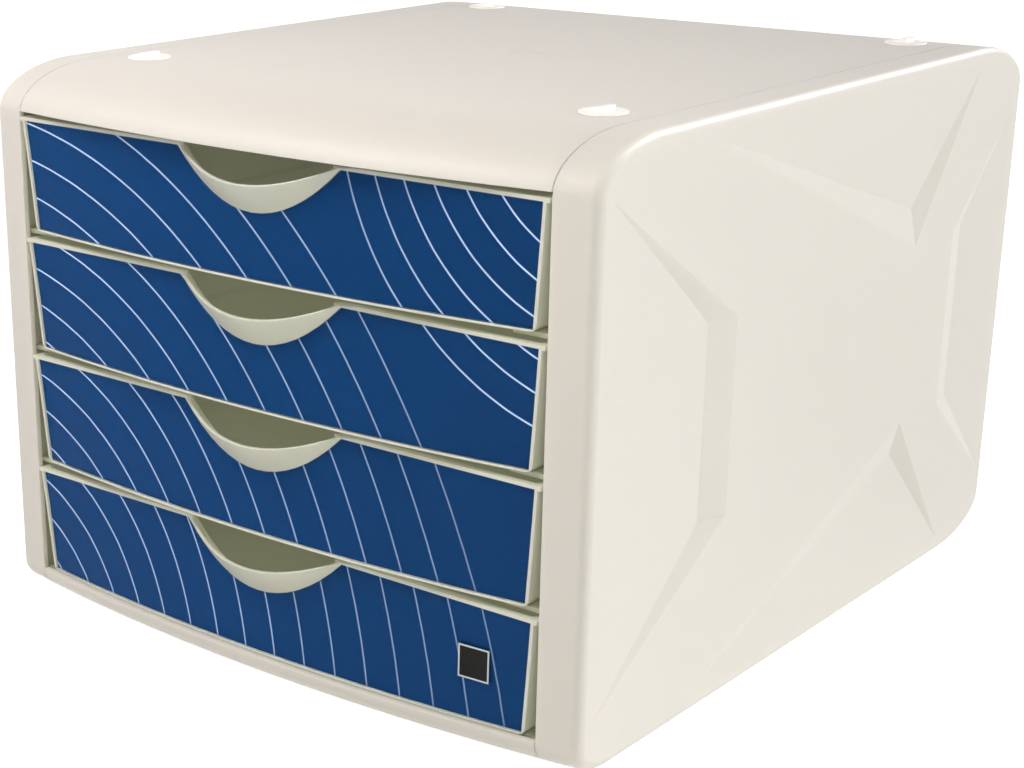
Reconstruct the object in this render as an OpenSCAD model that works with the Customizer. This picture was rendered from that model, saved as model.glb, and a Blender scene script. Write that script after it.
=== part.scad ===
// File box with four drawers for A4 and C4 paper, in moulded plastic.
// The origin is on the desk, at the middle of the overall width and depth.
// +Z is up, and the drawers open towards -Y.

/* [Housing] */
// Overall width across both cheeks
housing_w = 290; // [270:1:330]
// Depth from the foremost point of the bowed front to the rear face
housing_d = 344.7; // [320:1:400]
// Radius of the bowed front, seen from above
bow_r = 900; // [700:10:1400]
// Thickness of the housing's walls
wall = 2.6; // [2:0.1:3.4]
// Width of each cheek, and so of the jamb beside the drawers
cheek_w = 17; // [15:0.5:24]
// Rounding of the cheeks' outer edges
edge_r = 4; // [2.8:0.1:5]
// Gap at the seams between the cheeks and the cover or base
seam = 0.3; // [0.2:0.05:0.5]
// Length along the depth of the rounded corners
corner_run = 40; // [30:1:50]
// Height of the rounded corners
corner_rise = 18; // [14:1:24]
// Length along the depth of the lower front corners
toe_run = 20; // [14:1:30]
// Height of the lower front corners
toe_rise = 12; // [8:0.5:12]
// Height of the sill below the drawers
sill_h = 12.6; // [12.4:0.1:20]
// Height of the straight lap that the cover and the base have at the rear
rear_lap = 4; // [3:0.5:8]
// Height of the cover's front edge above the lip that hangs over the top drawer
brow_h = 16.7; // [14:0.1:24]

/* [Side relief] */
// Depth of the four sunk fields at their inner edge
relief_depth = 3.4; // [2:0.1:5]
// Width of the slope between a field and the raised middle
relief_slope = 15; // [8:1:20]

/* [Drawers] */
// Height of a drawer from its underside to its rim
tray_h = 45.7; // [40:0.1:60]
// Gap between a drawer's rim and each jamb
side_gap = 0.7; // [0.5:0.1:1.2]
// Gap between a drawer's underside and the ledge it slides on
glide_gap = 0.2; // [0.2:0.05:0.5]
// Gap between a drawer's rim and the ledge above it
lift_gap = 1.6; // [1.4:0.1:2]
// Gap between the top drawer's rim and the cover's lip
lip_gap = 2.1; // [1:0.1:3]
// Gap between the bottom drawer and the sill
sill_gap = 0.3; // [0.3:0.1:1]
// Gap behind a closed drawer
rear_gap = 3; // [2:0.5:8]
// How much each side of a drawer leans in towards the bottom
side_draft = 3.7; // [1:0.1:6]
// How far the foot of a drawer's front sits behind the bowed front
front_set = 2; // [1:0.1:4]
// Thickness of a drawer's sides, rear and floor
tray_wall = 2; // [1.6:0.1:2.6]
// Thickness of a drawer's front
front_wall = 2.8; // [2.6:0.1:4]
// Rounding of a drawer's lower side edges
tray_edge_r = 2.5; // [1.5:0.1:3]
// Rounding of a drawer's rear corners, seen from above
tray_corner_r = 8; // [4:0.5:14]
// Width of the rim that stands out from each side of a drawer
rim_reach = 1.1; // [0.8:0.1:2]
// Thickness of that rim
rim_t = 1.6; // [1.2:0.1:2]
// How far a drawer opens before its stops meet
travel = 250; // [200:5:260]

/* [Card and window] */
// Pale border beside the card
border_side = 1.2; // [0.9:0.1:2]
// Pale border above the card
border_top = 1.3; // [0.9:0.1:2]
// Pale border below the card
border_foot = 0.8; // [0.6:0.1:1.6]
// Thickness of the printed card
card_t = 0.4; // [0.3:0.05:0.6]
// Thickness of the clear window over the card
window_t = 1; // [0.8:0.1:1.2]
// Gap round the card and the window
card_gap = 0.1; // [0.05:0.05:0.2]

/* [Pull lip] */
// Width of the pull lip
lip_w = 79; // [60:1:110]
// Height of the lip's root below the card's upper edge, at the middle
lip_drop = 19.8; // [14:0.1:26]
// Height of the lip's rim below the drawer's rim, at the middle
lip_dip = 9.4; // [8:0.1:12]
// How far the lip stands out in front of the drawer's rim
lip_out = 12; // [10.5:0.1:16]
// Thickness of the lip
lip_t = 1.7; // [1.3:0.1:2.2]

/* [Runner frames] */
// Thickness of a runner frame's wall and ledges
runner_t = 1.7; // [1.4:0.1:2.4]
// How far a runner wall stands back from the jamb's edge
runner_set = 1.5; // [1:0.1:2]
// How far a ledge reaches under a drawer
ledge_under = 10.5; // [8:0.5:16]
// Height of the stops on the ledges and the drawers
stop_h = 1.1; // [1:0.05:1.2]
// Length of the stops along the depth
stop_len = 8; // [5:0.5:12]
// Spare travel left between the stops of an open drawer
stop_spare = 1; // [0.5:0.1:2]

/* [Feet and stacking caps] */
// Radius of the moulding's gate mark, a shallow disc in the middle of the cover
gate_r = 8.2; // [4:0.1:12]
// Its depth
gate_deep = 0.4; // [0.2:0.1:1]
// Its place behind the middle of the depth
gate_y = 3.9; // [-60:0.1:60]
// Distance from the jamb's edge to the feet and the caps
foot_side = 17.7; // [14:0.1:30]
// Distance from the rear face to the rear feet and caps
foot_inset = 46; // [45:1:80]
// Distance between the front and the rear feet and caps
foot_pitch = 233.5; // [180:1:250]
// Radius of a foot
foot_r = 8; // [6:0.5:9]
// How far a foot stands out below the base
foot_drop = 2; // [1:0.1:3]
// How far a foot is let into the base
foot_seat = 1; // [0.6:0.1:1.2]
// Radius of a cap's head
cap_r = 8.9; // [8:0.1:12]
// Thickness of a cap's head above the cover
cap_t = 0.7; // [0.5:0.1:1.2]
// Height of the ramp on a cap
cap_ramp_h = 1.8; // [1:0.1:2.5]
// Width of the rim of a cap's head round its plug
cap_rim = 1.2; // [1:0.1:2]
// Gap round a foot or a cap's plug
seat_gap = 0.15; // [0.1:0.05:0.3]

/* [Hidden] */

corner_steps = 9;     // straight lengths in each rounded corner of the side outline
edge_steps = 5;       // straight lengths in the rounding of a cheek's edge
bow_steps = 12;       // straight lengths across the bowed front
lip_steps = 16;       // straight lengths along the pull lip
side_steps = 5;       // straight lengths of the card's edge beside the lip
face_columns = 16;    // facets across a drawer's front
face_rows = 3;        // facets up a drawer's front
drawers = 4;
cut = 1;              // how far a cutting shape runs past what it cuts

shell_colour = [0.89, 0.87, 0.82];
tray_colour = [0.86, 0.86, 0.79];
card_colour = [0.09, 0.27, 0.46];
window_colour = [0.8, 0.88, 0.95, 0.35];
cap_colour = [0.97, 0.96, 0.94];
foot_colour = [0.3, 0.3, 0.3];

// Levels
pitch = tray_h + lift_gap + runner_t + glide_gap;
base_z = foot_drop;
sill_z = base_z + sill_h;
first_z = sill_z + sill_gap;
lip_z = first_z + (drawers - 1) * pitch + tray_h + lip_gap;
top_z = lip_z + brow_h;
base_rear_z = base_z + corner_rise + rear_lap;
cover_rear_z = top_z - corner_rise - rear_lap;
function tray_z(number) = first_z + (drawers - number) * pitch;
function ledge_z(level) = first_z + level * pitch - glide_gap;

// Widths
half_w = housing_w / 2;
jamb_x = half_w - cheek_w;
centre_x = jamb_x - seam;
rim_x = jamb_x - side_gap;
tray_top_x = rim_x - rim_reach;
tray_foot_x = tray_top_x - side_draft;
runner_x = jamb_x + runner_set;
ledge_x = tray_foot_x - ledge_under;
stop_x = tray_top_x - tray_wall / 2;
foot_x = jamb_x - foot_side;

// Depths: the lips reach furthest forward, and the rear face furthest back
function bow(x) = bow_r - sqrt(bow_r * bow_r - x * x);
overall_d = housing_d + lip_out - bow(tray_top_x);
rear_y = overall_d / 2;
bow_y = rear_y - housing_d;
function front_y(x) = bow_y + bow(x);
tray_front = front_y(tray_top_x);
ledge_front = front_y(runner_x) + wall + seam;

// The inside of the rounded lower rear corner at a height
function heel_y(z) = let (drop = max(0, base_z + corner_rise - z) / (corner_rise - wall))
    rear_y - corner_run + (corner_run - wall) * sqrt(1 - drop * drop);
tray_rear = min(rear_y - wall - rear_gap, heel_y(first_z) - seam * 3);
ledge_rear = min(tray_rear, heel_y(ledge_z(0) - runner_t) - seam);

// Points of a quarter of an ellipse from one heading to the next
function quarter(cy, cz, a, b, start) =
    [for (i = [0 : corner_steps]) let (t = start + 90 * i / corner_steps) [cy + a * cos(t), cz + b * sin(t)]];

// The housing's side outline at one place across the width, as [y, z], set in all round
function side_outline(x, inset) = let (f = front_y(x) + inset, r = rear_y - inset,
                                       lo = base_z + inset, hi = top_z - inset,
                                       run = corner_run - inset, rise = corner_rise - inset)
    concat(quarter(f + toe_run - inset, lo + toe_rise - inset, toe_run - inset, toe_rise - inset, 180),
           quarter(r - run, lo + rise, run, rise, 270),
           quarter(r - run, hi - rise, run, rise, 0),
           quarter(f + run, hi - rise, run, rise, 90));

// A solid through a list of closed rings, each running anticlockwise as seen from the last one's side.
// From the ring point turn onwards, the quads split along their other diagonal. A ring that runs out
// along a sheet's one side and back along its other is a folded one: its ends close in strips.
module loft(rings, turn = 1000, folded = false) {
    n = len(rings[0]);
    last = (len(rings) - 1) * n;
    walls = [for (j = [0 : len(rings) - 2], i = [0 : n - 1])
        let (a = j * n + i, b = j * n + (i + 1) % n)
        each i < turn ? [[a, b + n, b], [a, a + n, b + n]] : [[a, a + n, b], [b, a + n, b + n]]];
    ends = folded
        ? [for (i = [0 : n / 2 - 2]) each [[i, i + 1, n - 2 - i, n - 1 - i],
                                           [last + n - 1 - i, last + n - 2 - i, last + i + 1, last + i]]]
        : [[for (i = [0 : n - 1]) i], [for (i = [n - 1 : -1 : 0]) last + i]];
    polyhedron(points = [for (ring = rings) each ring], faces = concat(walls, ends), convexity = 8);
}

// The housing's form between two places across the width
function form_ring(x, inset) = [for (p = side_outline(x, inset)) [x, p[0], p[1]]];
module housing_form(x0, x1, inset, steps) {
    loft([for (i = [0 : steps]) form_ring(x0 + (x1 - x0) * i / steps, inset)]);
}

function backwards(list) = [for (i = [len(list) - 1 : -1 : 0]) list[i]];

// The bend of the cover's front, down to its lower edge
function brow_path(y, a, b) = let (z = top_z - corner_rise, end = 180 - asin(max(0, (lip_z - z) / b)))
    concat([for (i = [0 : corner_steps]) let (t = 90 + (end - 90) * i / corner_steps)
                [y + a * cos(t), z + b * sin(t)]],
           lip_z < z ? [[y - a, lip_z]] : []);

// The cover's section: up the rear, over the top, down the brow and back along the inside
function cover_section(x) = let (f = front_y(x), r = rear_y, run = corner_run, rise = corner_rise,
                                 over = quarter(r - run, top_z - rise, run, rise, 0),
                                 brow = brow_path(f + run, run, rise),
                                 under_brow = brow_path(f + run, run - wall, rise - wall),
                                 under = quarter(r - run, top_z - rise, run - wall, rise - wall, 0))
    concat([[r, cover_rear_z]], over, brow, backwards(under_brow), backwards(under),
           [[r - wall, cover_rear_z]]);

// The base's section: down the sill, along the bottom, up the rear and back along the inside
function base_section(x) = let (f = front_y(x), r = rear_y, run = corner_run, rise = corner_rise,
                                toe = quarter(f + toe_run, base_z + toe_rise, toe_run, toe_rise, 180),
                                heel = quarter(r - run, base_z + rise, run, rise, 270),
                                inside_heel = quarter(r - run, base_z + rise, run - wall, rise - wall, 270),
                                inside_toe = quarter(f + toe_run, base_z + toe_rise, toe_run - wall, toe_rise - wall, 180))
    concat([[f, sill_z]], toe, heel, [[r, base_rear_z], [r - wall, base_rear_z]],
           backwards(inside_heel), backwards(inside_toe), [[f + wall, sill_z]]);

// A plain block between two corners
module block(lo, hi) {
    translate(lo) cube(hi - lo);
}

module at_corners(z) {
    for (x = [-foot_x, foot_x], y = [rear_y - foot_inset, rear_y - foot_inset - foot_pitch])
        translate([x, y, z]) children();
}

// ---- Housing ----
function across(i) = centre_x * (2 * i / bow_steps - 1);

module cover_part() {
    difference() {
        loft([for (i = [0 : bow_steps]) [for (p = cover_section(across(i))) [across(i), p[0], p[1]]]],
             folded = true);
        translate([0, gate_y, top_z - gate_deep]) cylinder(r = gate_r, h = gate_deep + cut, $fn = 64);
        at_corners(top_z - wall - cut) cylinder(r = cap_r - cap_rim + seat_gap, h = wall + 2 * cut, $fn = 64);
    }
}

module base_part() {
    difference() {
        loft([for (i = [0 : bow_steps]) [for (p = base_section(across(i))) [across(i), p[0], p[1]]]],
             folded = true);
        at_corners(base_z - cut) cylinder(r = foot_r + seat_gap, h = cut + foot_seat, $fn = 64);
    }
}

// The back panel closes the rear between the base and the cover, and tongues reach inside both
tongue_t = 1.6;
tongue_w = ledge_x - 6;
tongue_h = rear_lap - seam;
module back_part() {
    block([-centre_x, rear_y - wall, base_rear_z + seam], [centre_x, rear_y, cover_rear_z - seam]);
    for (z = [base_rear_z, cover_rear_z])
        block([-tongue_w, rear_y - wall - tongue_t, z - tongue_h], [tongue_w, rear_y - wall, z + tongue_h]);
}

// One sunk field: flush along its outer edge, deepest along its inner edge
module field(outer, inner, deep) {
    face = [for (p = concat(outer, inner)) each [[half_w, p[0], p[1]], [half_w + 4, p[0], p[1]]]];
    floor_points = [for (p = deep) [half_w - relief_depth, p[0], p[1]]];
    points = concat(face, floor_points);
    hull() polyhedron(points = points, faces = [[for (i = [0 : len(points) - 1]) i]]);
}

// The raised middle of the relief, which the four fields leave standing
mid_z = (base_z + top_z) / 2;
relief_margin = edge_r + 3;
relief_front = bow_y + bow(half_w) + relief_margin;
relief_rear = rear_y - relief_margin;
relief_lo = base_z + relief_margin;
relief_hi = top_z - relief_margin;
middle_half_h = 38;
middle_front = relief_front + 86;
middle_rear = relief_rear - 52;
tip_y = relief_rear - 88;
module relief_fields() {
    for (up = [1, -1]) {
        edge = up > 0 ? relief_hi : relief_lo;
        tip = mid_z + up * middle_half_h;
        field([[relief_front + 62, edge], [relief_rear - 38, edge]], [[tip_y, tip]],
              [[tip_y, tip + up * relief_slope]]);
    }
    field([[relief_front, relief_lo + 14], [relief_front, relief_hi - 12]],
          [[middle_front, mid_z - middle_half_h], [middle_front, mid_z + middle_half_h]],
          [[middle_front - relief_slope, mid_z - middle_half_h], [middle_front - relief_slope, mid_z + middle_half_h]]);
    field([[relief_rear, relief_lo + 24], [relief_rear, relief_hi - 20]],
          [[middle_rear, mid_z - middle_half_h], [middle_rear, mid_z + middle_half_h]],
          [[middle_rear + relief_slope, mid_z - middle_half_h], [middle_rear + relief_slope, mid_z + middle_half_h]]);
}

cheek_ribs = [-0.25, 0, 0.25];
rib_t = 1.8;
module cheek_part() {
    flat_x = half_w - edge_r;
    body = [for (x = [jamb_x, flat_x - 0.001]) form_ring(x, 0)];
    edge = [for (i = [1 : edge_steps]) let (t = 90 * i / edge_steps, x = flat_x + edge_r * sin(t))
        form_ring(x, edge_r * (1 - cos(t)))];
    difference() {
        loft(concat(body, edge));
        difference() {
            housing_form(jamb_x - cut, half_w - wall, wall, 2);
            translate([-wall, 0, 0]) relief_fields();
            for (share = cheek_ribs)
                translate([runner_x + runner_t + seam, housing_d * share - rib_t / 2, 0])
                    cube([cheek_w, rib_t, top_z]);
        }
        relief_fields();
    }
}

// ---- Runner frames ----
seat_reach = 12;
seat_margin = corner_run + 12;
module runner_part() {
    wall_x = runner_x + runner_t;
    ring = side_outline(wall_x, wall + seam);
    loft([for (x = [runner_x, wall_x]) [for (p = ring) [x, p[0], p[1]]]]);
    for (level = [0 : drawers])
        block([ledge_x, ledge_front, ledge_z(level) - runner_t], [runner_x + cut / 2, ledge_rear, ledge_z(level)]);
    for (z = [base_z + wall, top_z - wall - runner_t])
        block([centre_x - seat_reach, bow_y + seat_margin, z], [runner_x + cut / 2, rear_y - seat_margin, z + runner_t]);
    stop_y = tray_rear - stop_len - travel - stop_spare;
    for (level = [1 : drawers])
        block([stop_x, stop_y - stop_len / 2, ledge_z(level) - runner_t - stop_h],
              [runner_x + cut / 2, stop_y, ledge_z(level) - runner_t + cut / 2]);
}

// ---- Drawers ----
// The front is straight along its upper edge and follows the bowed front along its foot
function face_y(x, h) = let (s = h / tray_h) s * tray_front + (1 - s) * (front_y(x) + front_set);
function tray_x(h) = tray_foot_x + side_draft * h / tray_h;

// A closed ring round a drawer at a height above its underside
function tray_ring(z, h, front_in, side_in, columns) = let (
    w = tray_x(h) - side_in, rear = tray_rear - side_in, r = tray_corner_r - min(side_in, tray_corner_r - 1))
    concat([for (i = [0 : columns]) let (x = -w + 2 * w * i / columns) [x, face_y(x, h) + front_in, z]],
           [for (t = [0 : 30 : 90]) [w - r + r * cos(t), rear - r + r * sin(t), z]],
           [for (t = [90 : 30 : 180]) [-w + r + r * cos(t), rear - r + r * sin(t), z]]);

module tray_block(front_in, side_in, floor_in, top_over, columns, rows) {
    shoulder = floor_in + tray_edge_r;
    foot = [for (t = [0 : 30 : 90]) let (h = floor_in + tray_edge_r * (1 - cos(t)))
        tray_ring(h, h, front_in, side_in + tray_edge_r * (1 - sin(t)), columns)];
    sides = [for (i = [1 : rows]) let (h = shoulder + (tray_h - shoulder) * i / rows)
        tray_ring(h, h, front_in, side_in, columns)];
    over = top_over > 0 ? [tray_ring(tray_h + top_over, tray_h, front_in, side_in, columns)] : [];
    loft(concat(foot, sides, over));
}

field_foot = border_foot;
field_top = tray_h - border_top;

// The pull lip's root and rim fall away from the drawer's rim as parabolas
function fall(t) = 1 - t * t;
function root_z(t) = field_top - lip_drop * fall(t);
function brim_z(t) = tray_h - lip_dip * fall(t);
function brim_y(t) = tray_front - lip_out * fall(t);

// A slab that follows the front inside its border, between two depths, and leaves room for the lip's root
function field_x(h, gap) = tray_x(h) - border_side - gap;
function field_edge(gap) = let (wide = field_x(field_top - gap, gap), reach = lip_w / 2 + gap) concat(
    [for (i = [0 : side_steps - 1]) [-wide + (wide - reach) * i / side_steps, field_top - gap]],
    [for (i = [0 : lip_steps]) let (t = -1 + 2 * i / lip_steps) [reach * t, root_z(t) - gap]],
    [for (i = [1 : side_steps]) [reach + (wide - reach) * i / side_steps, field_top - gap]]);
module face_slab(y0, y1, gap) {
    foot = field_foot + gap;
    loft([for (p = field_edge(gap)) let (column = [for (k = [0 : face_rows])
            let (h = foot + (p[1] - foot) * k / face_rows, x = p[0] * field_x(h, gap) / field_x(p[1], gap)) [x, face_y(x, h), h]])
        concat([for (q = column) q + [0, y1, 0]], [for (q = backwards(column)) q + [0, y0, 0]])], face_rows + 1);
}

module lip_body() {
    loft([for (i = [0 : lip_steps]) let (t = -1 + 2 * i / lip_steps, x = lip_w / 2 * t, y = face_y(x, root_z(t)))
        [[x, y, root_z(t)], [x, y + front_wall, root_z(t)], [x, y + front_wall, brim_z(t)], [x, brim_y(t), brim_z(t)]]]);
}

// The hollow of the lip, which opens the drawer's front behind it for a finger
hollow_end = sqrt(1 - (lip_t - border_top + 0.4) / (lip_drop - lip_dip));
module lip_hollow() {
    back = tray_front + front_wall + cut;
    loft([for (i = [0 : lip_steps]) let (t = hollow_end * (-1 + 2 * i / lip_steps), x = lip_w / 2 * t,
                                         y = face_y(x, root_z(t)), floor_z = root_z(t) + lip_t)
        [[x, y + lip_t / 2, floor_z], [x, back, floor_z], [x, back, tray_h + cut],
         [x, brim_y(t) + lip_t, tray_h + cut], [x, brim_y(t) + lip_t, brim_z(t)]]]);
}

module tray_part() {
    difference() {
        union() {
            tray_block(0, 0, 0, 0, face_columns, face_rows);
            block([-rim_x, tray_front, tray_h - rim_t], [rim_x, tray_rear, tray_h]);
            lip_body();
            for (side = [0, 1])
                mirror([side, 0, 0])
                    block([stop_x, tray_rear - stop_len, tray_h - rim_t], [rim_x, tray_rear, tray_h + stop_h]);
        }
        tray_block(front_wall, tray_wall, tray_wall, cut, face_columns, face_rows);
        lip_hollow();
        face_slab(-2 * cut, card_t + window_t + 2 * card_gap, 0);
    }
}

module card_part() {
    face_slab(window_t + card_gap, window_t + card_gap + card_t, card_gap);
}

module window_part() {
    face_slab(0, window_t, card_gap);
}

// ---- Feet and stacking caps ----
module foot_part() {
    rotate_extrude($fn = 64)
        polygon([[0, 0], [foot_r - 1, 0], [foot_r, 0.8], [foot_r, foot_drop + foot_seat], [0, foot_drop + foot_seat]]);
}

module cap_part() {
    plug_r = cap_r - cap_rim;
    ramp_w = 0.9 * cap_r;
    rotate_extrude($fn = 64)
        polygon([[0, -wall], [plug_r, -wall], [plug_r, 0], [cap_r, 0], [cap_r - 0.3, cap_t], [0, cap_t]]);
    translate([0, ramp_w / 2, 0]) rotate([90, 0, 0]) linear_extrude(ramp_w)
        polygon([[-0.7 * cap_r, cap_t / 2], [0.25 * cap_r, cap_t / 2], [0.25 * cap_r, cap_t + cap_ramp_h],
                 [0, cap_t + cap_ramp_h], [-0.7 * cap_r, cap_t]]);
}

rear_foot_y = rear_y - foot_inset;
front_foot_y = rear_foot_y - foot_pitch;

module top_cover() { color(shell_colour) cover_part(); }
module base_panel() { color(shell_colour) base_part(); }
module back_panel() { color(shell_colour) back_part(); }
module right_cheek() { color(shell_colour) cheek_part(); }
module left_cheek() { color(shell_colour) mirror([1, 0, 0]) cheek_part(); }
module right_runner_frame() { color(tray_colour) runner_part(); }
module left_runner_frame() { color(tray_colour) mirror([1, 0, 0]) runner_part(); }
module tray(number) { color(tray_colour) translate([0, 0, tray_z(number)]) tray_part(); }
module card(number) { color(card_colour) translate([0, 0, tray_z(number)]) card_part(); }
module window(number) { color(window_colour) translate([0, 0, tray_z(number)]) window_part(); }
module cap(x, y) { color(cap_colour) translate([x, y, top_z]) cap_part(); }
module foot(x, y) { color(foot_colour) translate([x, y, 0]) foot_part(); }

top_cover();
left_cheek();
right_cheek();
base_panel();
back_panel();
left_runner_frame();
right_runner_frame();
tray(1);  // drawer_1_tray
tray(2);  // drawer_2_tray
tray(3);  // drawer_3_tray
tray(4);  // drawer_4_tray
card(1);  // drawer_1_card
card(2);  // drawer_2_card
card(3);  // drawer_3_card
card(4);  // drawer_4_card
window(1);  // drawer_1_window
window(2);  // drawer_2_window
window(3);  // drawer_3_window
window(4);  // drawer_4_window
cap(-foot_x, front_foot_y);  // front_left_cap
cap(foot_x, front_foot_y);  // front_right_cap
cap(-foot_x, rear_foot_y);  // rear_left_cap
cap(foot_x, rear_foot_y);  // rear_right_cap
foot(-foot_x, front_foot_y);  // front_left_foot
foot(foot_x, front_foot_y);  // front_right_foot
foot(-foot_x, rear_foot_y);  // rear_left_foot
foot(foot_x, rear_foot_y);  // rear_right_foot
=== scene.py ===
import math
import bpy
from mathutils import Euler, Matrix, Vector


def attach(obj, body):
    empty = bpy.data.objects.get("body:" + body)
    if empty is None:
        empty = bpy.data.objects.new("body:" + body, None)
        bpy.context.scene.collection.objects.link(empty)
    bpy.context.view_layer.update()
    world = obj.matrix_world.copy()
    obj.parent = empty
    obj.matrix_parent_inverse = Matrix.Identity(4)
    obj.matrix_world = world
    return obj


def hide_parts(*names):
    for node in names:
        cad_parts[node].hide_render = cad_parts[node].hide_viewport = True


print("loading the frame")
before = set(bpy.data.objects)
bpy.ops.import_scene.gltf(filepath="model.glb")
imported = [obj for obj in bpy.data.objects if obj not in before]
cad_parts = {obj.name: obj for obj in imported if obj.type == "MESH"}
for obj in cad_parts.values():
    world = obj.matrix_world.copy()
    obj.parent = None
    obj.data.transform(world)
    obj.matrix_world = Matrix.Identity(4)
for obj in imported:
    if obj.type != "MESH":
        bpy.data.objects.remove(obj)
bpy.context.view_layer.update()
bpy.ops.object.select_all(action="DESELECT")
scene = bpy.context.scene

print("camera")
photoView = {
    "place": (0.487354, -0.691578, 0.339061),
    "turn": (70.9204, 0.2166, 40.2613),  # degrees
    "sensor": 36,
    "lens": 70.708,
    "shift": (0.1707, 0.0772),  # the photograph is cut from a wider frame
    "clip": (0.01, 100),
}
cameraData = bpy.data.cameras.new("photoCamera")
cameraData.sensor_width = photoView["sensor"]
cameraData.lens = photoView["lens"]
cameraData.shift_x, cameraData.shift_y = photoView["shift"]
cameraData.clip_start, cameraData.clip_end = photoView["clip"]
camera = bpy.data.objects.new("photoCamera", cameraData)
camera.location = photoView["place"]
camera.rotation_euler = Euler([math.radians(a) for a in photoView["turn"]])
scene.collection.objects.link(camera)
scene.camera = camera
scene.view_settings.view_transform = "Standard"


# colour values of 0 to 255 as linear light
def srgb(r, g, b):
    def toLinear(v):
        v = v / 255
        return v / 12.92 if v <= 0.04045 else ((v + 0.055) / 1.055) ** 2.4
    return (toLinear(r), toLinear(g), toLinear(b), 1)


# what goes into a node's sockets: a value or another node's output
def feed(tree, node, inputs):
    for name, value in inputs.items():
        if isinstance(value, bpy.types.NodeSocket):
            tree.links.new(value, node.inputs[name])
        else:
            node.inputs[name].default_value = value


def addNode(tree, kind, x=0, y=0, inputs=None, **settings):
    node = tree.nodes.new(kind)
    node.location = (x, y)
    for name, value in settings.items():
        setattr(node, name, value)
    feed(tree, node, inputs or {})
    return node


def addMath(tree, operation, a, b=0.0, x=0, y=0):
    return addNode(tree, "ShaderNodeMath", x, y, {0: a, 1: b}, operation=operation).outputs[0]


def addMix(tree, factor, a, b, x=0, y=0):
    return addNode(tree, "ShaderNodeMix", x, y, {0: factor, 6: a, 7: b}, data_type="RGBA").outputs[2]


def addScaled(tree, colour, factor, x=0, y=0):
    inputs = {0: colour, "Scale": factor}
    return addNode(tree, "ShaderNodeVectorMath", x, y, inputs, operation="SCALE").outputs[0]


def addRange(tree, value, fromRange, toRange, x=0, y=0, smooth=True):
    inputs = {"Value": value, "From Min": fromRange[0], "From Max": fromRange[1],
              "To Min": toRange[0], "To Max": toRange[1]}
    kind = "SMOOTHSTEP" if smooth else "LINEAR"
    return addNode(tree, "ShaderNodeMapRange", x, y, inputs, interpolation_type=kind).outputs[0]


def addNoise(tree, where, scale, detail, x=0, y=0, **more):
    inputs = {"Vector": where, "Scale": scale, "Detail": detail, **more}
    return addNode(tree, "ShaderNodeTexNoise", x, y, inputs).outputs[0]


# a noise of 0 to 1 as a swing to both sides of zero
def addSwing(tree, noise, amount, x=0, y=0):
    return addMath(tree, "MULTIPLY", addMath(tree, "SUBTRACT", noise, 0.5, x, y), amount, x + 180, y)


def addBump(tree, height, strength, distance, x=0, y=0):
    inputs = {"Height": height, "Strength": strength, "Distance": distance}
    return addNode(tree, "ShaderNodeBump", x, y, inputs).outputs[0]


def newGroup(name, inputs, outputs):
    tree = bpy.data.node_groups.new(name, "ShaderNodeTree")
    for label, kind, value in inputs:
        socket = tree.interface.new_socket(label, in_out="INPUT", socket_type=kind)
        if value is not None:
            socket.default_value = value
    for label, kind in outputs:
        tree.interface.new_socket(label, in_out="OUTPUT", socket_type=kind)
    given = addNode(tree, "NodeGroupInput", -1300).outputs
    return tree, given, addNode(tree, "NodeGroupOutput", 900)


def placeGroup(tree, group, x, y, inputs):
    return addNode(tree, "ShaderNodeGroup", x, y, inputs, node_tree=group).outputs


print("shader groups")
grainLook = {
    "speck": 0.03,  # how far the fine grain lightens and darkens the tone
    "swirlSize": 2.4,
    "agedTone": (0.66, 0.6, 0.46, 1),
    "cloudHeight": 0.6,
    "grainHeight": 0.7,
}
arcLook = {
    "softEdge": (0.65, 1.35),  # shares of half a line's width, between which it fades out
    "faded": 0.3,
}


# moulded plastic: cloudy tone, a fine spark-eroded grain and a roughness that follows it
def makeMouldedPlastic():
    tree, given, out = newGroup(
        "mouldedPlastic",
        [("Position", "NodeSocketVector", None), ("Base Color", "NodeSocketColor", (0.8, 0.8, 0.8, 1)),
         ("Mottle", "NodeSocketFloat", 0.03), ("Cloud Size", "NodeSocketFloat", 12.0),
         ("Grain Size", "NodeSocketFloat", 1400.0), ("Roughness", "NodeSocketFloat", 0.5),
         ("Roughness Spread", "NodeSocketFloat", 0.08), ("Ageing", "NodeSocketFloat", 0.03)],
        [("Color", "NodeSocketColor"), ("Roughness", "NodeSocketFloat"), ("Height", "NodeSocketFloat")])
    where = given["Position"]
    cloud = addNoise(tree, where, given["Cloud Size"], 3.0, -1000, 300, Roughness=0.55)
    grain = addNoise(tree, where, given["Grain Size"], 2.0, -1000, 0, Roughness=0.6)
    swirl = addNoise(tree, where, grainLook["swirlSize"], 1.0, -1000, -300, Distortion=0.6)
    mottle = addSwing(tree, cloud, given["Mottle"], -800, 300)
    speck = addSwing(tree, grain, grainLook["speck"], -800, 100)
    tone = addMath(tree, "ADD", addMath(tree, "ADD", mottle, speck, -440, 250), 1.0, -260, 250)
    toned = addScaled(tree, given["Base Color"], tone, -80, 300)
    ageing = addMath(tree, "MULTIPLY", swirl, given["Ageing"], -260, -200)
    spread = addSwing(tree, grain, given["Roughness Spread"], -440, -50)
    clouds = addMath(tree, "MULTIPLY", cloud, grainLook["cloudHeight"], -260, -380)
    grains = addMath(tree, "MULTIPLY", grain, grainLook["grainHeight"], -260, -480)
    feed(tree, out, {
        "Color": addMix(tree, ageing, toned, grainLook["agedTone"], 140, 200),
        "Roughness": addMath(tree, "ADD", spread, given["Roughness"], -80, -50),
        "Height": addMath(tree, "ADD", clouds, grains, -80, -400)})
    return tree


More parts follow.
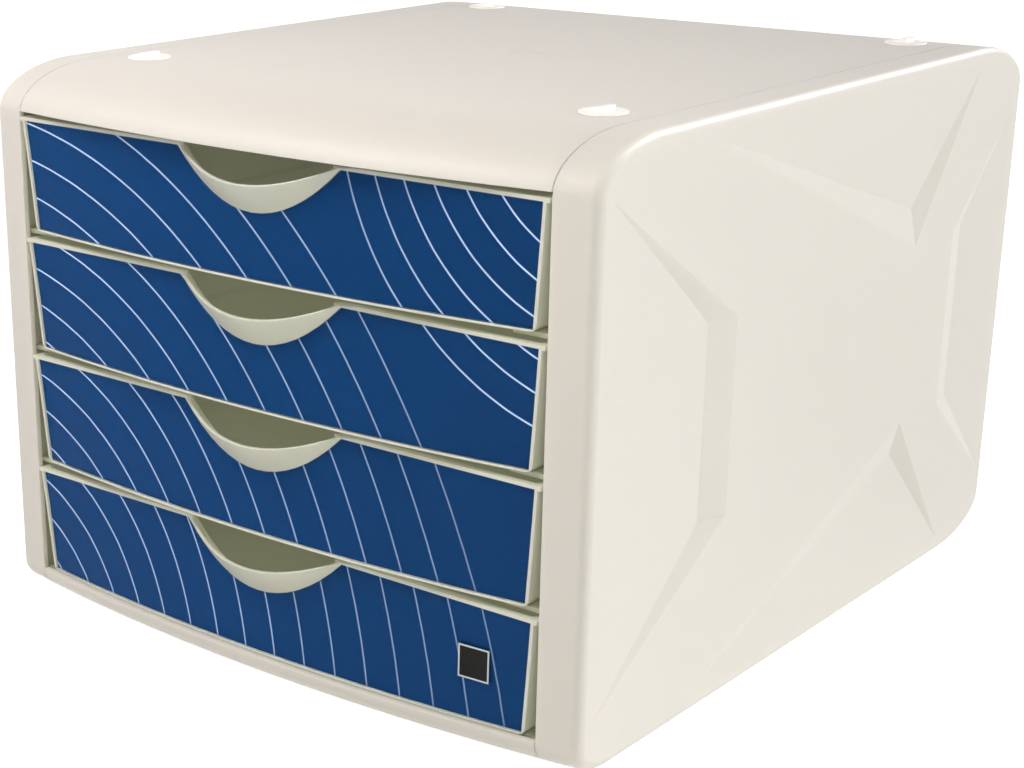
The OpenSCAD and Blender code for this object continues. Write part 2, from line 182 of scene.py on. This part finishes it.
# a family of evenly spaced circles about one centre, seen from the front, cut to a ring
def makePrintedArcs():
    tree, given, out = newGroup(
        "printedArcs",
        [("Position", "NodeSocketVector", None), ("Centre X", "NodeSocketFloat", 0.0),
         ("Centre Z", "NodeSocketFloat", 0.0), ("Spacing", "NodeSocketFloat", 0.012),
         ("Line Width", "NodeSocketFloat", 0.0007), ("Inner Radius", "NodeSocketFloat", 0.1),
         ("Outer Radius", "NodeSocketFloat", 0.3), ("Fade From X", "NodeSocketFloat", -0.12),
         ("Fade To X", "NodeSocketFloat", 0.06)],
        [("Mask", "NodeSocketFloat")])
    place = addNode(tree, "ShaderNodeSeparateXYZ", -1100, 0, {0: given["Position"]}).outputs
    dx = addMath(tree, "SUBTRACT", place[0], given["Centre X"], -900, 150)
    dz = addMath(tree, "SUBTRACT", place[2], given["Centre Z"], -900, -50)
    squares = addMath(tree, "ADD", addMath(tree, "MULTIPLY", dx, dx, -720, 150),
                      addMath(tree, "MULTIPLY", dz, dz, -720, -50), -540, 50)
    radius = addMath(tree, "SQRT", squares, 0.0, -380, 50)
    # how far a point is from the middle of its line
    steps = addMath(tree, "DIVIDE", radius, given["Spacing"], -220, 150)
    turn = addMath(tree, "FRACT", steps, 0.0, -60, 150)
    fromMiddle = addMath(tree, "ABSOLUTE", addMath(tree, "SUBTRACT", turn, 0.5, 80, 150), 0.0, 220, 150)
    off = addMath(tree, "MULTIPLY", fromMiddle, given["Spacing"], 360, 150)
    half = addMath(tree, "MULTIPLY", given["Line Width"], 0.5, -60, -120)
    fadeFrom, fadeTo = [addMath(tree, "MULTIPLY", half, share, 80, -60) for share in arcLook["softEdge"]]
    line = addRange(tree, off, (fadeFrom, fadeTo), (1.0, 0.0), 500, 100)
    ring = addMath(tree, "MULTIPLY",
                   addMath(tree, "GREATER_THAN", radius, given["Inner Radius"], -60, -320),
                   addMath(tree, "LESS_THAN", radius, given["Outer Radius"], -60, -460), 120, -380)
    fade = addRange(tree, place[0], (given["Fade From X"], given["Fade To X"]), (1.0, arcLook["faded"]),
                    300, -300, smooth=False)
    cut = addMath(tree, "MULTIPLY", line, ring, 640, 0)
    feed(tree, out, {"Mask": addMath(tree, "MULTIPLY", cut, fade, 760, -80)})
    return tree


mouldedPlastic = makeMouldedPlastic()
printedArcs = makePrintedArcs()

print("materials")


def newMaterial(name):
    material = bpy.data.materials.new(name)
    material.use_nodes = True
    tree = material.node_tree
    tree.nodes.clear()
    shader = addNode(tree, "ShaderNodeBsdfPrincipled", 500, 0)
    addNode(tree, "ShaderNodeOutputMaterial", 820, 0, {0: shader.outputs[0]})
    where = addNode(tree, "ShaderNodeTexCoord", -1000, 0)
    return material, tree, shader, where.outputs["Object"]


plasticLook = {
    "bump": 0.6,
    "milkyRadius": (1, 0.95, 0.7),
    "milkyDepth": 0.006,
    "paintedInteriorTone": (0.77, 0.8, 0.58, 1),  # the olive tint of the painted light that lifts the shade inside the drawers
}


# glow paints light into the surface as an emission, though the part is no lamp
def makePlastic(name, colour, roughness, mottle=0.03, grainSize=1400.0, grainDepth=0.00003, spread=0.08,
                ageing=0.03, ior=1.46, milky=0.0, glow=0.0, paintedGlowTone=plasticLook["paintedInteriorTone"], shine=0.5):
    material, tree, shader, where = newMaterial(name)
    grain = placeGroup(tree, mouldedPlastic, -500, 0, {
        "Position": where, "Base Color": colour, "Mottle": mottle, "Grain Size": grainSize,
        "Roughness": roughness, "Roughness Spread": spread, "Ageing": ageing})
    feed(tree, shader, {
        "Base Color": grain["Color"],
        "Roughness": grain["Roughness"],
        "Normal": addBump(tree, grain["Height"], plasticLook["bump"], grainDepth, 200, -250),
        "IOR": ior,
        "Specular IOR Level": shine,
        "Subsurface Weight": milky,
        "Subsurface Radius": plasticLook["milkyRadius"],
        "Subsurface Scale": plasticLook["milkyDepth"],
        "Emission Color": paintedGlowTone,
        "Emission Strength": glow})
    return material


housingPlastic = makePlastic("housingPlastic", srgb(235, 229, 219), 0.49, mottle=0.035,
                             grainDepth=0.00005, milky=0.5)
# painted shade: the runner frames are coloured darker and greener than the housing, so that the gaps
# between the drawers, where they show, look shaded
runnerPlastic = makePlastic("runnerPlastic", srgb(188, 189, 168), 0.5, mottle=0.04, milky=0.5)
# painted light: the drawer plastic glows faintly in an olive tint, which lifts the shade inside the
# drawers
drawerPlastic = makePlastic("drawerPlastic", srgb(217, 217, 201), 0.34, grainSize=900.0,
                            grainDepth=0.00001, spread=0.06, milky=0.5, glow=0.06)
# painted light: the caps glow faintly, so that they stay as bright as a highlight
capPlastic = makePlastic("capPlastic", srgb(250, 246, 241), 0.3, mottle=0.02, grainDepth=0.00001,
                         ageing=0.0, glow=0.1, paintedGlowTone=(1, 0.97, 0.95, 1))
footRubber = makePlastic("footRubber", srgb(92, 91, 88), 0.8, mottle=0.12, grainSize=700.0,
                         grainDepth=0.00008, ior=1.5)
tagPlastic = makePlastic("tagPlastic", srgb(18, 21, 19), 0.5, mottle=0.1, grainSize=1100.0,
                         grainDepth=0.00001, ageing=0.0, shine=0.15)
tagBorder = makePlastic("tagBorder", srgb(205, 214, 216), 0.4, mottle=0.04, grainDepth=0.00001)

cardLook = {
    "ink": srgb(5, 46, 88),
    "inkLight": srgb(10, 56, 103),
    "line": srgb(184, 201, 228),
    "lineWidth": 0.00064,
    "half": 0.13,  # half a card's width, over which the ink turns from lighter to darker
    "inkAcross": (0.75, 0.05),
    "washSize": 14.0,
    "wash": 0.35,
    "dotSize": 2600.0,
    "dotRange": (0.2, 0.8),
    "dotTone": (0.96, 1.05),
    "roughness": (0.42, 0.56),
    "bump": 0.3,
    "bumpDepth": 0.00001,
    "ior": 1.45,
    "shine": 0.06,
}
arcsFromLeft = {"Centre X": -0.165, "Centre Z": -0.03, "Spacing": 0.0145, "Inner Radius": 0.055,
                "Outer Radius": 0.285, "Fade From X": -0.125, "Fade To X": 0.13}
arcsFromRight = {"Centre X": 0.165, "Centre Z": 0.255, "Spacing": 0.0115, "Inner Radius": 0.045,
                 "Outer Radius": 0.14, "Fade From X": 0.125, "Fade To X": 0.0}


# a printed card: blue ink laid a little unevenly over paper, with two families of pale arcs
def makeCardPrint():
    material, tree, shader, where = newMaterial("cardPrint")
    masks = [
        placeGroup(tree, printedArcs, -700, y, {
            "Position": where, "Line Width": cardLook["lineWidth"], **arcs})["Mask"]
        for arcs, y in [(arcsFromLeft, 350), (arcsFromRight, 50)]]
    lines = addMath(tree, "MAXIMUM", *masks, -480, 200)
    across = addNode(tree, "ShaderNodeSeparateXYZ", -800, -200, {0: where}).outputs[0]
    wash = addNoise(tree, where, cardLook["washSize"], 4.0, -700, -350)
    dots = addNoise(tree, where, cardLook["dotSize"], 1.0, -700, -600)
    side = addRange(tree, across, (-cardLook["half"], cardLook["half"]), cardLook["inkAcross"], -480, -200)
    uneven = addMath(tree, "MULTIPLY", wash, cardLook["wash"], -480, -350)
    washed = addMath(tree, "ADD", side, uneven, -300, -250)
    ink = addMix(tree, washed, cardLook["ink"], cardLook["inkLight"], -120, -100)
    speck = addRange(tree, dots, cardLook["dotRange"], cardLook["dotTone"], -300, -600)
    screened = addScaled(tree, ink, speck, 40, -150)
    feed(tree, shader, {
        "Base Color": addMix(tree, lines, screened, cardLook["line"], 220, 100),
        "Roughness": addRange(tree, dots, (0.0, 1.0), cardLook["roughness"], 40, -350),
        "Normal": addBump(tree, dots, cardLook["bump"], cardLook["bumpDepth"], 220, -450),
        "IOR": cardLook["ior"],
        "Specular IOR Level": cardLook["shine"]})
    return material


windowLook = {
    "tint": (0.97, 0.985, 1, 1),
    "ior": 1.045,  # low, so that the white studio hardly veils the print
    "rippleSize": 22.0,
    "wipeSize": 160.0,
    "wipeRange": (0.3, 0.75),
    "roughness": (0.02, 0.07),
    "bump": 0.15,
    "bumpDepth": 0.00002,
}


# the clear window: its faint moulding ripple sits in the roughness and the bump
def makeClearWindow():
    material, tree, shader, where = newMaterial("clearWindow")
    ripple = addNoise(tree, where, windowLook["rippleSize"], 2.0, -600, 0)
    wipe = addNoise(tree, where, windowLook["wipeSize"], 3.0, -600, -300)
    feed(tree, shader, {
        "Base Color": windowLook["tint"],
        "Roughness": addRange(tree, wipe, windowLook["wipeRange"], windowLook["roughness"], -200, -200),
        "Normal": addBump(tree, ripple, windowLook["bump"], windowLook["bumpDepth"], 200, -300),
        "Transmission Weight": 1,
        "IOR": windowLook["ior"]})
    return material


finishes = {
    "housing_plastic": housingPlastic,
    "runner_plastic": runnerPlastic,
    "drawer_plastic": drawerPlastic,
    "card_print": makeCardPrint(),
    "clear_window": makeClearWindow(),
    "cap_plastic": capPlastic,
    "foot_rubber": footRubber,
}


def setMode(mode):
    bpy.ops.object.mode_set(mode=mode)


def easeEdges(piece, width, angle):
    eased = piece.modifiers.new("easedEdges", "BEVEL")
    eased.width = width
    eased.segments = 2
    eased.limit_method = "ANGLE"
    eased.angle_limit = math.radians(angle)
    bpy.ops.object.modifier_apply(modifier="easedEdges")


# selects the edges whose two faces, given with the edge's ends, pass a test
def selectEdges(piece, passes):
    mesh = piece.data
    faces = {}
    for face in mesh.polygons:
        for key in face.edge_keys:
            faces.setdefault(key, []).append(face)
    setMode("EDIT")
    bpy.ops.mesh.select_mode(type="EDGE")
    bpy.ops.mesh.select_all(action="DESELECT")
    setMode("OBJECT")
    for edge in mesh.edges:
        pair = faces[edge.key]
        ends = [mesh.vertices[v].co for v in edge.vertices]
        edge.select = len(pair) == 2 and passes(ends, *pair)
    setMode("EDIT")


relief = {  # where a cheek's outer face is inside its rounding
    "y": (-0.1535, 0.1685),
    "z": (0.0075, 0.2225),
    "facing": 0.85,  # least x of the normals, outwards
    "leastFold": 8,  # degrees
}


# the shallow folds of a cheek's relief stay sharp, so that the slopes between them keep their own shade
def keepRelief(piece):
    side = math.copysign(1, piece.data.vertices[0].co.x)

    def isInside(end):
        return relief["y"][0] < end.y < relief["y"][1] and relief["z"][0] < end.z < relief["z"][1]

    def isFold(ends, one, other):
        return (all(isInside(end) for end in ends)
                and min(one.normal.x * side, other.normal.x * side) > relief["facing"]
                and one.normal.angle(other.normal, 0) > math.radians(relief["leastFold"]))

    selectEdges(piece, isFold)
    bpy.ops.mesh.mark_sharp()
    setMode("OBJECT")


lip = {
    "reach": 0.0112,  # how far the rim's top lies behind the foremost point
    "dip": 0.012,  # and below the highest one
    "bead": 0.0009,
    "up": 0.75,  # least z of the normals on the rim's top
    "forward": -0.3,  # greatest y of those on its front
}


# the front of a pull lip's rim is rounded to a bead
def roundLip(piece):
    front = min(v.co.y for v in piece.data.vertices)
    top = max(v.co.z for v in piece.data.vertices)

    def isRimTop(face):
        return (face.normal.z > lip["up"] and face.center.y < front + lip["reach"]
                and face.center.z > top - lip["dip"])

    def isRimFront(ends, one, other):
        return (isRimTop(one) and other.normal.y < lip["forward"]) or (
            isRimTop(other) and one.normal.y < lip["forward"])

    selectEdges(piece, isRimFront)
    bpy.ops.mesh.bevel(offset=lip["bead"], segments=3, affect="EDGES", clamp_overlap=False)
    setMode("OBJECT")


mergeReach = 0.000004  # corners nearer to each other than this are one


# a copy of a CAD node, merged, with its sharp edges eased and its curves shaded smooth, stands for it
def refineNode(name, body, finish, look):
    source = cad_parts[name]
    piece = source.copy()
    piece.data = source.data.copy()
    piece.name = piece.data.name = name + "_shell"
    piece.parent = None
    for key in list(piece.keys()):
        del piece[key]
    scene.collection.objects.link(piece)
    bpy.ops.object.select_all(action="DESELECT")
    piece.select_set(True)
    bpy.context.view_layer.objects.active = piece
    if piece.data.has_custom_normals:
        bpy.ops.mesh.customdata_custom_splitnormals_clear()
    setMode("EDIT")
    bpy.ops.mesh.select_all(action="SELECT")
    bpy.ops.mesh.remove_doubles(threshold=mergeReach)
    bpy.ops.mesh.dissolve_limited(angle_limit=math.radians(look["flat"]))
    setMode("OBJECT")
    if look.get("lip"):
        roundLip(piece)
    easeEdges(piece, look["edge"], look["sharp"])
    if look.get("relief"):
        keepRelief(piece)
    bpy.ops.object.shade_smooth_by_angle(angle=math.radians(look["smooth"]), keep_sharp_edges=True)
    weighted = piece.modifiers.new("evenShading", "WEIGHTED_NORMAL")
    weighted.keep_sharp = True
    bpy.ops.object.modifier_apply(modifier="evenShading")
    piece.select_set(False)
    piece.data.materials.clear()
    piece.data.materials.append(finishes[finish])
    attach(piece, body)
    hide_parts(name)


print("housing")
# edge is the width of the eased edges in metres, and the rest are angles in degrees: edges from sharp
# on are eased, folds up to smooth are shaded as one face, and folds under flat are taken away
housingLook = {"edge": 0.0004, "sharp": 35, "smooth": 32, "flat": 0.4}
cheekLook = {**housingLook, "relief": True}
runnerLook = {"edge": 0.0003, "sharp": 35, "smooth": 30, "flat": 0.4}
capLook = {"edge": 0.0002, "sharp": 35, "smooth": 30, "flat": 0.4}
footLook = {"edge": 0.0003, "sharp": 35, "smooth": 30, "flat": 0.4}
for name in ["top_cover", "base_panel", "back_panel"]:
    refineNode(name, "housing", "housing_plastic", housingLook)
for name in ["left_cheek", "right_cheek"]:
    refineNode(name, "housing", "housing_plastic", cheekLook)
for name in ["left_runner_frame", "right_runner_frame"]:
    refineNode(name, "housing", "runner_plastic", runnerLook)
for corner in ["front_left", "front_right", "rear_left", "rear_right"]:
    refineNode(corner + "_cap", "housing", "cap_plastic", capLook)
    refineNode(corner + "_foot", "housing", "foot_rubber", footLook)

print("drawers")
trayLook = {"edge": 0.0003, "sharp": 35, "smooth": 34, "flat": 0.3, "lip": True}
printLook = {"edge": 0.00005, "sharp": 50, "smooth": 30, "flat": 0.05}
paneLook = {"edge": 0.00012, "sharp": 50, "smooth": 30, "flat": 0.05}
for drawer in ["drawer_1", "drawer_2", "drawer_3", "drawer_4"]:
    refineNode(drawer + "_tray", drawer, "drawer_plastic", trayLook)
    refineNode(drawer + "_card", drawer, "card_print", printLook)
    refineNode(drawer + "_window", drawer, "clear_window", paneLook)

print("front tag")
tag = {
    "centre": (0.1015, 0.0376),  # x and z on the lowest drawer's front
    "width": 0.0129,
    "height": 0.0127,
    "thick": 0.0003,
    "border": 0.00055,
    "step": 0.00006,  # how far the dark field is sunk inside its border
    "edge": 0.00008,
    "gap": 0.00003,
    "facing": 0.9,
    "sharp": 40,
    "smooth": 30,
}


# the place and the normal of a piece's surface, met from the front
def findFront(name, x, z):
    bpy.context.view_layer.update()
    ahead = Vector((x, -0.3, z))
    return bpy.data.objects[name].ray_cast(ahead, Vector((0, 1, 0)))[1:3]


def addTag():
    place, normal = findFront("drawer_4_window_shell", *tag["centre"])
    bpy.ops.mesh.primitive_cube_add(size=1, location=(0, 0, 0))
    piece = bpy.context.object
    piece.name = "front_tag"
    piece.scale = (tag["width"], tag["height"], tag["thick"])
    bpy.ops.object.transform_apply(location=False, rotation=False, scale=True)
    for material in [tagPlastic, tagBorder]:
        piece.data.materials.append(material)
    setMode("EDIT")
    bpy.ops.mesh.select_mode(type="FACE")
    bpy.ops.mesh.select_all(action="DESELECT")
    setMode("OBJECT")
    for face in piece.data.polygons:
        face.material_index = 1
        face.select = face.normal.z > tag["facing"]
    setMode("EDIT")
    bpy.ops.mesh.inset(thickness=tag["border"], depth=0)
    bpy.ops.mesh.inset(thickness=tag["step"], depth=-tag["step"])
    piece.active_material_index = 0
    bpy.ops.object.material_slot_assign()
    setMode("OBJECT")
    easeEdges(piece, tag["edge"], tag["sharp"])
    bpy.ops.object.shade_smooth_by_angle(angle=math.radians(tag["smooth"]))
    across = Vector((0, 0, 1)).cross(normal).normalized()
    up = normal.cross(across).normalized()
    turn = Matrix((across, up, normal)).transposed().to_4x4()
    centre = place + normal * (tag["thick"] / 2 + tag["gap"])
    piece.matrix_world = Matrix.Translation(centre) @ turn
    bpy.ops.object.transform_apply(location=True, rotation=True, scale=True)
    piece.select_set(False)
    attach(piece, "drawer_4")


addTag()

print("floor and light")
studio = {
    "sky": 0.19,
    "skyTone": (1, 1, 1, 1),
    "floorTone": srgb(240, 240, 240),
    "floorLift": 0.82,  # seen by the rays of seesBackground alone, so that the floor reaches white
    "floorSize": 80,
    "floorDrop": 0.0002,
}


# 1 on rays that show the background: from the camera, off gloss or through the windows
def seesBackground(tree):
    path = addNode(tree, "ShaderNodeLightPath", -500, 200).outputs
    direct = addMath(tree, "MAXIMUM", path["Is Camera Ray"], path["Is Glossy Ray"])
    return addMath(tree, "MAXIMUM", direct, path["Is Transmission Ray"])


def addFloor():
    bpy.ops.mesh.primitive_plane_add(size=studio["floorSize"], location=(0, 0, -studio["floorDrop"]))
    floor = bpy.context.object
    floor.name = "studioFloor"
    material = bpy.data.materials.new("studioFloor")
    material.use_nodes = True
    tree = material.node_tree
    tree.nodes.clear()
    lift = addMath(tree, "MULTIPLY", seesBackground(tree), studio["floorLift"])
    diffuse = addNode(tree, "ShaderNodeBsdfDiffuse", 0, 100, {"Color": studio["floorTone"]})
    glow = addNode(tree, "ShaderNodeEmission", 0, -100, {"Strength": lift})
    both = addNode(tree, "ShaderNodeAddShader", 250, 0, {0: diffuse.outputs[0], 1: glow.outputs[0]})
    addNode(tree, "ShaderNodeOutputMaterial", 450, 0, {0: both.outputs[0]})
    floor.data.materials.append(material)
    floor.select_set(False)


def addSky():
    world = bpy.data.worlds.new("studioWorld")
    scene.world = world
    world.use_nodes = True
    tree = world.node_tree
    tree.nodes.clear()
    strength = addRange(tree, seesBackground(tree), (0.0, 1.0), (studio["sky"], 1.0), smooth=False)
    inputs = {"Color": studio["skyTone"], "Strength": strength}
    sky = addNode(tree, "ShaderNodeBackground", 0, 0, inputs)
    addNode(tree, "ShaderNodeOutputWorld", 250, 0, {0: sky.outputs[0]})


addFloor()
addSky()

# the low lamps would glare on the cover when it is seen from the far side, so they leave out gloss
lamps = [
    # close behind the camera, so that it reaches into the drawers
    {"name": "fillLight", "place": (0.512, -0.728, 0.368), "target": (0, -0.1, 0.12), "size": 0.16,
     "power": 1.03, "colour": (0.97, 1, 0.88), "leavesOut": "visible_glossy"},
    {"name": "sideLight", "place": (3.9, 2.85, 0.95), "target": (0, 0, 0.1), "size": 2.4,
     "power": 160, "leavesOut": "visible_glossy"},
    {"name": "cornerLight", "place": (0.35, -0.45, 0.6), "target": (0.1, -0.14, 0.2), "size": 0.2,
     "power": 0.6, "colour": (1, 0.98, 0.92)},
    {"name": "frontLight", "place": (-0.3, -0.5, 0.7), "target": (0, -0.08, 0.2), "size": 0.35,
     "power": 3.2, "colour": (1, 0.93, 0.91)},
    {"name": "rearLight", "place": (-2.6, 2.8, 0.5), "target": (0, 0, 0.1), "size": 2.0,
     "power": 48, "leavesOut": "visible_glossy"},
    # a strip of shine along the cheeks' upper edge
    {"name": "edgeLight", "place": (0.85, 2.3, 1.9), "target": (0, 0, 0.2), "size": 0.9,
     "power": 95, "leavesOut": "visible_diffuse"},
]


def addSoftLight(look):
    data = bpy.data.lights.new(look["name"], "AREA")
    data.shape = "DISK"
    data.size = look["size"]
    data.energy = look["power"]
    data.color = look.get("colour", (1, 1, 1))
    lamp = bpy.data.objects.new(look["name"], data)
    lamp.location = look["place"]
    aim = Vector(look["target"]) - Vector(look["place"])
    lamp.rotation_euler = aim.to_track_quat("-Z", "Y").to_euler()
    scene.collection.objects.link(lamp)
    if "leavesOut" in look:
        setattr(lamp, look["leavesOut"], False)


for look in lamps:
    addSoftLight(look)
